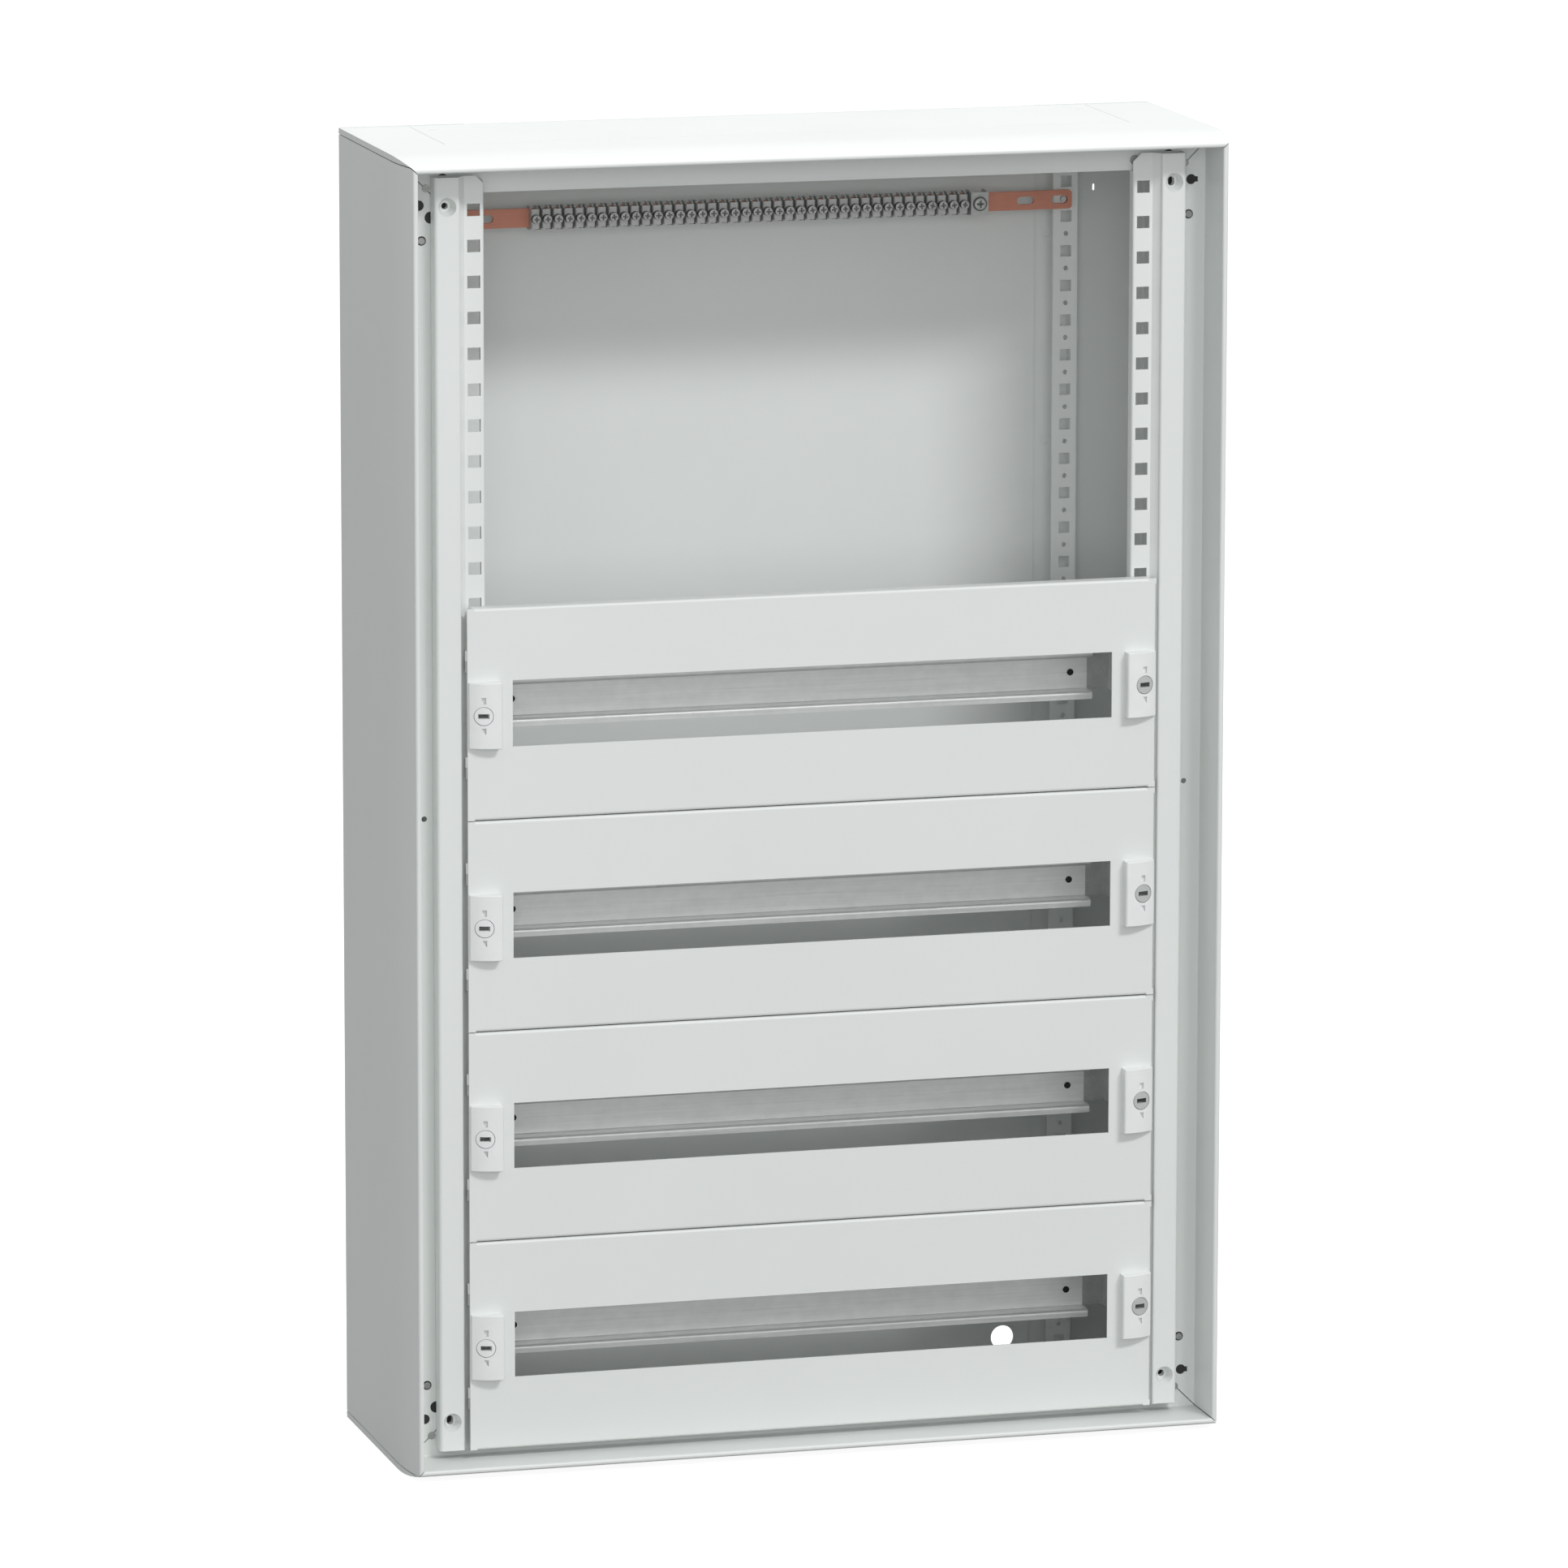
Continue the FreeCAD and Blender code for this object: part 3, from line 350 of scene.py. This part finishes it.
# ---------------------------------------------------------------- earth bar
# Flat half-hard copper bar with punched slots, left bare; it has dulled evenly, with faint
# draw marks along it.
dull_scale, draw_scale, draw_stretch, draw_depth = 55.0, 1300.0, (0.03, 1.0, 1.0), 0.00001
dull_copper, clean_copper = (0.60, 0.250, 0.175), (0.71, 0.315, 0.225)
copper = Finish("bare_copper")
dulling = copper.noise(copper.place(), dull_scale, 4.0)
draw = copper.noise(copper.place(draw_stretch), draw_scale, 2.0)
copper.surface(Base_Color=copper.blend(copper.ramp(dulling * 0.6 + draw * 0.4, 0.3, 0.7),
                                       dull_copper, clean_copper),
               Metallic=0.35, Roughness=0.46 + dulling * 0.12, Normal=copper.relief(draw, draw_depth))
coat_nodes(copper.material, "earth_bar")


# ---------------------------------------------------------------- earth terminals
# Forty folded steel clamps on the bar, nickel plated, each with a cross-slotted screw that
# presses the wire against the copper. Near-black plates stand between them as painted shade for the gaps.
def rounded_loop(corners, radii):
    """Corner points of a closed outline, each corner with a radius turned into a short arc."""
    steps, straight = 3, 0.01
    loop = []
    for i, (corner, radius) in enumerate(zip(corners, radii)):
        before, after = Vector(corners[i - 1]), Vector(corners[(i + 1) % len(corners)])
        corner = Vector(corner)
        come, leave = (corner - before).normalized(), (after - corner).normalized()
        turn = come.angle_signed(leave)
        if radius <= 0 or abs(turn) < straight:
            loop.append(corner)
            continue
        reach = radius * math.tan(abs(turn) / 2)
        side = Vector((-come.y, come.x)) if turn < 0 else Vector((come.y, -come.x))
        middle = corner - come * reach + side * radius
        for step in range(steps + 1):
            arm = corner - come * reach - middle
            arm.rotate(Matrix.Rotation(-turn * step / steps, 2))
            loop.append(middle + arm)
    return loop


def prism(work, outline, x0, x1):
    """Closed slab with this (y, z) outline, from x0 to x1."""
    ends = [[work.verts.new((x, point[0], point[1])) for point in outline] for x in (x0, x1)]
    closed_slab(work, *ends)


def clamp_shape(name, wide, high_front, high_rear, front, neck, rear, wall):
    """Folded clamp: a low front wall that takes the screw, and two taller cheeks behind it."""
    work = bmesh.new()
    half = wide / 2
    bend = wall * 0.5
    front_wall = [(-half + bend, 0), (half - bend, 0), (half, bend), (half, wall), (-half, wall),
                  (-half, bend)]
    low = [work.verts.new((x, front + y, -high_front)) for x, y in front_wall]
    top = [work.verts.new((x, front + y, high_front)) for x, y in front_wall]
    closed_slab(work, low, top)
    inner, shoulder = front + wall, front + wall + neck
    cheek = [(inner, -high_front), (inner, high_front), (shoulder, high_front), (shoulder, high_rear),
             (rear, high_rear), (rear, -high_rear), (shoulder, -high_rear), (shoulder, -high_front)]
    notch_r, shoulder_r, rear_r = wall * 0.3, 0.0016, 0.0012
    radii = (0, 0, notch_r, shoulder_r, rear_r, rear_r, shoulder_r, notch_r)
    for side in (-1, 1):
        prism(work, rounded_loop(cheek, radii), *sorted((side * half, side * (half - wall))))
    return mesh_piece(name, work)


sides = 24


def turned(work, profile):
    """Surface of revolution about Y through the (radius, y) points; the last may lie on the axis."""
    turns = [math.tau * k / sides for k in range(sides)]
    loops = []
    for radius, y in profile:
        if radius == 0:
            loops.append([work.verts.new((0, y, 0))])
        else:
            loops.append([work.verts.new((radius * math.cos(a), y, radius * math.sin(a))) for a in turns])
    for first, second in zip(loops, loops[1:]):
        for k in range(sides):
            m = (k + 1) % sides
            if len(second) == 1:
                work.faces.new((first[m], first[k], second[0]))
            else:
                work.faces.new((first[m], first[k], second[k], second[m]))
    return loops


def screw_shape(name, shank_r, head_r, head, length, recess):
    """Pan-head screw along +Y from its face at y = 0, with a tapered cross recess."""
    work = bmesh.new()
    rim = head_r * 0.10
    loops = turned(work, [(head_r - rim * 2.2, 0), (head_r - rim, rim * 0.25), (head_r, rim),
                          (head_r, head), (shank_r, head), (shank_r, length), (0, length)])
    arm, half = head_r * 0.66, recess / 2
    outline = [(arm, -half), (arm, half), (half, half), (half, arm), (-half, arm), (-half, half),
               (-arm, half), (-arm, -half), (-half, -half), (-half, -arm), (half, -arm), (half, -half)]
    top = [work.verts.new((x, 0, z)) for x, z in outline]
    low = [work.verts.new((x * 0.7, head * 0.8, z * 0.8)) for x, z in outline]
    points = len(outline)
    edges = [work.edges.new((top[k], top[(k + 1) % points])) for k in range(points)]
    edges += [work.edges.get((loops[0][k], loops[0][(k + 1) % sides])) for k in range(sides)]
    bmesh.ops.triangle_fill(work, edges=edges, use_beauty=True)
    for k in range(points):
        m = (k + 1) % points
        work.faces.new((top[k], top[m], low[m], low[k]))
    work.faces.new(low)
    return mesh_piece(name, work)


def head_shade_shape(name, radius, bore, near, far, cross):
    """Painted shade: a near-black ring under a screw head for the shade around it, and near-black blocks
    for the shade at the bottom of the head's cross recess.
    """
    work = bmesh.new()
    loops = turned(work, [(bore, near), (radius, near), (radius, far), (bore, far)])
    for k in range(sides):
        m = (k + 1) % sides
        work.faces.new((loops[3][m], loops[3][k], loops[0][k], loops[0][m]))
    arm, half, front, back = cross
    apart = 0.00002
    for half_x, half_z, step in ((arm, half, 0.0), (half, arm, apart)):
        bmesh.ops.create_cube(work, size=1.0, matrix=Matrix.LocRotScale(
            (0.0, (front + back) / 2 + step, 0.0), None, (2 * half_x, back - front, 2 * half_z)))
    return mesh_piece(name, work)


def gap_shade_shape(name, wide, high, thick):
    """Near-black plate with rounded ends that stands between two clamps, in front of the bar: painted
    shade for the gap between them.
    """
    work = bmesh.new()
    half, steps = wide / 2, 8
    turns = [math.pi * k / steps for k in range(steps + 1)]
    outline = [(half * math.cos(a), high - half + half * math.sin(a)) for a in turns]
    outline += [(-x, -z) for x, z in outline]
    front = [work.verts.new((x, 0, z)) for x, z in outline]
    rear = [work.verts.new((x, thick, z)) for x, z in outline]
    closed_slab(work, front, rear)
    return mesh_piece(name, work)


def row_tree(name, material):
    """Geometry Nodes: copies of one part in a row, each turned a little about Y by a seeded amount."""
    tree = bpy.data.node_groups.new(name, "GeometryNodeTree")
    for label, kind in (("Part", "NodeSocketObject"), ("Count", "NodeSocketInt"),
                        ("Start", "NodeSocketVector"), ("Step", "NodeSocketVector"),
                        ("Turn", "NodeSocketFloat"), ("Seed", "NodeSocketInt")):
        tree.interface.new_socket(label, in_out="INPUT", socket_type=kind)
    tree.interface.new_socket("Geometry", in_out="OUTPUT", socket_type="NodeSocketGeometry")
    given, made = tree.nodes.new("NodeGroupInput"), tree.nodes.new("NodeGroupOutput")
    line = tree.nodes.new("GeometryNodeMeshLine")
    info = tree.nodes.new("GeometryNodeObjectInfo")
    chance = tree.nodes.new("FunctionNodeRandomValue")
    lean = tree.nodes.new("ShaderNodeCombineXYZ")
    least = tree.nodes.new("ShaderNodeMath")
    copies = tree.nodes.new("GeometryNodeInstanceOnPoints")
    real = tree.nodes.new("GeometryNodeRealizeInstances")
    dress = tree.nodes.new("GeometryNodeSetMaterial")
    least.operation = "MULTIPLY"
    least.inputs[1].default_value = -1.0
    dress.inputs["Material"].default_value = material
    for source, target in ((given.outputs["Count"], line.inputs["Count"]),
                           (given.outputs["Start"], line.inputs["Start Location"]),
                           (given.outputs["Step"], line.inputs["Offset"]),
                           (given.outputs["Part"], info.inputs["Object"]),
                           (given.outputs["Turn"], least.inputs[0]),
                           (least.outputs[0], chance.inputs[2]),
                           (given.outputs["Turn"], chance.inputs[3]),
                           (given.outputs["Seed"], chance.inputs["Seed"]),
                           (chance.outputs[1], lean.inputs["Y"]),
                           (line.outputs["Mesh"], copies.inputs["Points"]),
                           (info.outputs["Geometry"], copies.inputs["Instance"]),
                           (lean.outputs["Vector"], copies.inputs["Rotation"]),
                           (copies.outputs["Instances"], real.inputs["Geometry"]),
                           (real.outputs["Geometry"], dress.inputs["Geometry"]),
                           (dress.outputs["Geometry"], made.inputs["Geometry"])):
        tree.links.new(source, target)
    return tree


def grown(name, tree, values):
    """Runs the tree with these inputs and keeps the result as a plain mesh object."""
    host = bpy.data.objects.new(name, bpy.data.meshes.new(name + "_base"))
    bpy.context.collection.objects.link(host)
    work = host.modifiers.new("grow", "NODES")
    work.node_group = tree
    sockets = {item.name: item.identifier
               for item in tree.interface.items_tree if item.in_out == "INPUT"}
    for label, value in values.items():
        work[sockets[label]] = value
    host.update_tag()
    mesh = bpy.data.meshes.new_from_object(host.evaluated_get(bpy.context.evaluated_depsgraph_get()))
    bpy.data.objects.remove(host)
    mesh.name = name
    piece = bpy.data.objects.new(name, mesh)
    bpy.context.collection.objects.link(piece)
    return piece


def stands_for(piece, body, slot, *names):
    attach(piece, body)
    if names:
        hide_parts(*names)


nickel = plated("nickel_plate", (0.50, 0.505, 0.495), (0.62, 0.625, 0.61), 0.38, metallic=0.45)
bar_low, bar_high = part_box("earth_bar")
clamps_low, clamps_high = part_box("earth_terminal_clamps")
screws_low, screws_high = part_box("earth_terminal_screws")
terminals = 40
clamp_wide, clamp_wall, clamp_neck, clamp_front_high = 0.0062, 0.0012, 0.0030, 0.0069
spacing = (clamps_high[0] - clamps_low[0] - clamp_wide) / (terminals - 1)
bar_middle = (bar_low[2] + bar_high[2]) / 2
first_clamp = (clamps_low[0] + clamp_wide / 2, 0.0, bar_middle)
one_clamp = clamp_shape("clamp_pattern", clamp_wide, clamp_front_high, clamps_high[2] - bar_middle,
                        clamps_low[1], clamp_neck, clamps_high[1], clamp_wall)
no_turn, straight_seed = 0.0, 3
next_terminal = (spacing, 0.0, 0.0)
clamp_row = grown("terminal_clamps", row_tree("clamp_row", nickel),
                  {"Part": one_clamp, "Count": terminals, "Start": first_clamp, "Step": next_terminal,
                   "Turn": no_turn, "Seed": straight_seed})
stands_for(clamp_row, "cabinet", "plated_steel", "earth_terminal_clamps")

# painted shade: near-black steel for the gaps between the clamps, the rings around the screw heads and
# the bottoms of their cross recesses.
painted_shade_steel = plated("painted_shade_black_steel", (0.105, 0.108, 0.102), (0.165, 0.170, 0.160), 0.45, metallic=0.4)
gap_shade_wide, gap_shade_high, gap_shade_thick, gap_shade_behind = 0.0042, 0.0082, 0.0016, 0.0050
first_gap_shade = (first_clamp[0] + spacing / 2, clamps_low[1] + gap_shade_behind, bar_middle)
one_gap_shade = gap_shade_shape("spacer_pattern", gap_shade_wide, gap_shade_high, gap_shade_thick)
gap_shade_row = grown("terminal_spacers", row_tree("gap_shade_row", painted_shade_steel),
                   {"Part": one_gap_shade, "Count": terminals, "Start": first_gap_shade, "Step": next_terminal,
                    "Turn": no_turn, "Seed": straight_seed})
stands_for(gap_shade_row, "cabinet", "plated_steel")

screw_long = screws_high[1] - screws_low[1]
screw_out = clamps_low[1] - screws_low[1]
head_r, head_high = (screws_high[2] - screws_low[2]) / 2, 0.0012
shank_r, head_shade_bore, recess_wide, recess_floor_half = 0.0016, 0.0017, 0.0013, 0.0003
screw_turn, screw_seed = 0.25, 11
first_screw = (first_clamp[0], screws_low[1], bar_middle)
one_screw = screw_shape("screw_pattern", shank_r, head_r, head_high, screw_long, recess_wide)
# painted shade: a near-black ring around each screw head and near-black blocks in its cross recess.
one_head_shade = head_shade_shape("collar_pattern", head_r * 1.03, head_shade_bore, head_high, screw_out,
                          (head_r * 0.56, recess_floor_half, head_high * 0.5, head_high * 0.8))
for name, pattern, material, tree_name, replaced in (
        ("terminal_screws", one_screw, nickel, "screw_row", ("earth_terminal_screws",)),
        ("terminal_collars", one_head_shade, painted_shade_steel, "head_shade_row", ())):
    row_piece = grown(name, row_tree(tree_name, material),
                      {"Part": pattern, "Count": terminals, "Start": first_screw, "Step": next_terminal,
                       "Turn": screw_turn, "Seed": screw_seed})
    stands_for(row_piece, "cabinet", "plated_steel", *replaced)
for pattern in (one_clamp, one_gap_shade, one_screw, one_head_shade):
    bpy.data.objects.remove(pattern)

# ---------------------------------------------------------------- main earth terminal
# The large clamp at the end of the row is the same nickel plated steel. Its own screw stands in a
# near-black ring that is painted shade around its head, with painted shade at the bottom of its cross
# recess.
main_low, main_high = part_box("main_earth_screw")
main_clamp_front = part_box("main_earth_clamp")[0][1]
main_r, main_long = (main_high[2] - main_low[2]) / 2, main_high[1] - main_low[1]
main_shank_r, main_bore, main_head_high, main_recess = 0.0028, 0.0029, 0.0016, 0.0016
head_shade_near, cross_half, cross_front, cross_back = 0.0008, 0.0005, 0.0008, 0.00125
main_place = Matrix.Translation(((main_low[0] + main_high[0]) / 2, main_low[1], bar_middle))
main_screw = screw_shape("main_terminal_screw", main_shank_r, main_r * 0.86, main_head_high, main_long,
                         main_recess)
# painted shade: a near-black ring around the main screw's head and near-black blocks in its cross recess.
main_head_shade = head_shade_shape("main_terminal_washer", main_r * 1.04, main_bore, head_shade_near,
                           main_clamp_front - main_low[1],
                           (main_r * 0.38, cross_half, cross_front, cross_back))
for piece, material in ((main_screw, nickel), (main_head_shade, painted_shade_steel)):
    piece.data.transform(main_place)
    piece.data.materials.append(material)
stands_for(main_screw, "cabinet", "plated_steel", "main_earth_screw")
stands_for(main_head_shade, "cabinet", "plated_steel")
coat_nodes(nickel, "main_earth_clamp", "earth_bar_studs")

# ---------------------------------------------------------------- rivets and screws of the frame
# Plain steel rivets and screws hold the corners; the rails and the uprights' feet have
# blackened screws.
bare_steel = plated("bare_steel", (0.34, 0.345, 0.34), (0.46, 0.465, 0.455), 0.36)
black_screw = plated("black_oxide_steel", (0.020, 0.020, 0.020), (0.045, 0.045, 0.045), 0.42)
coat_nodes(bare_steel, "seam_rivets", "corner_rivets", "flange_screws")
coat_nodes(black_screw, "rail_screws", "upright_foot_screws")
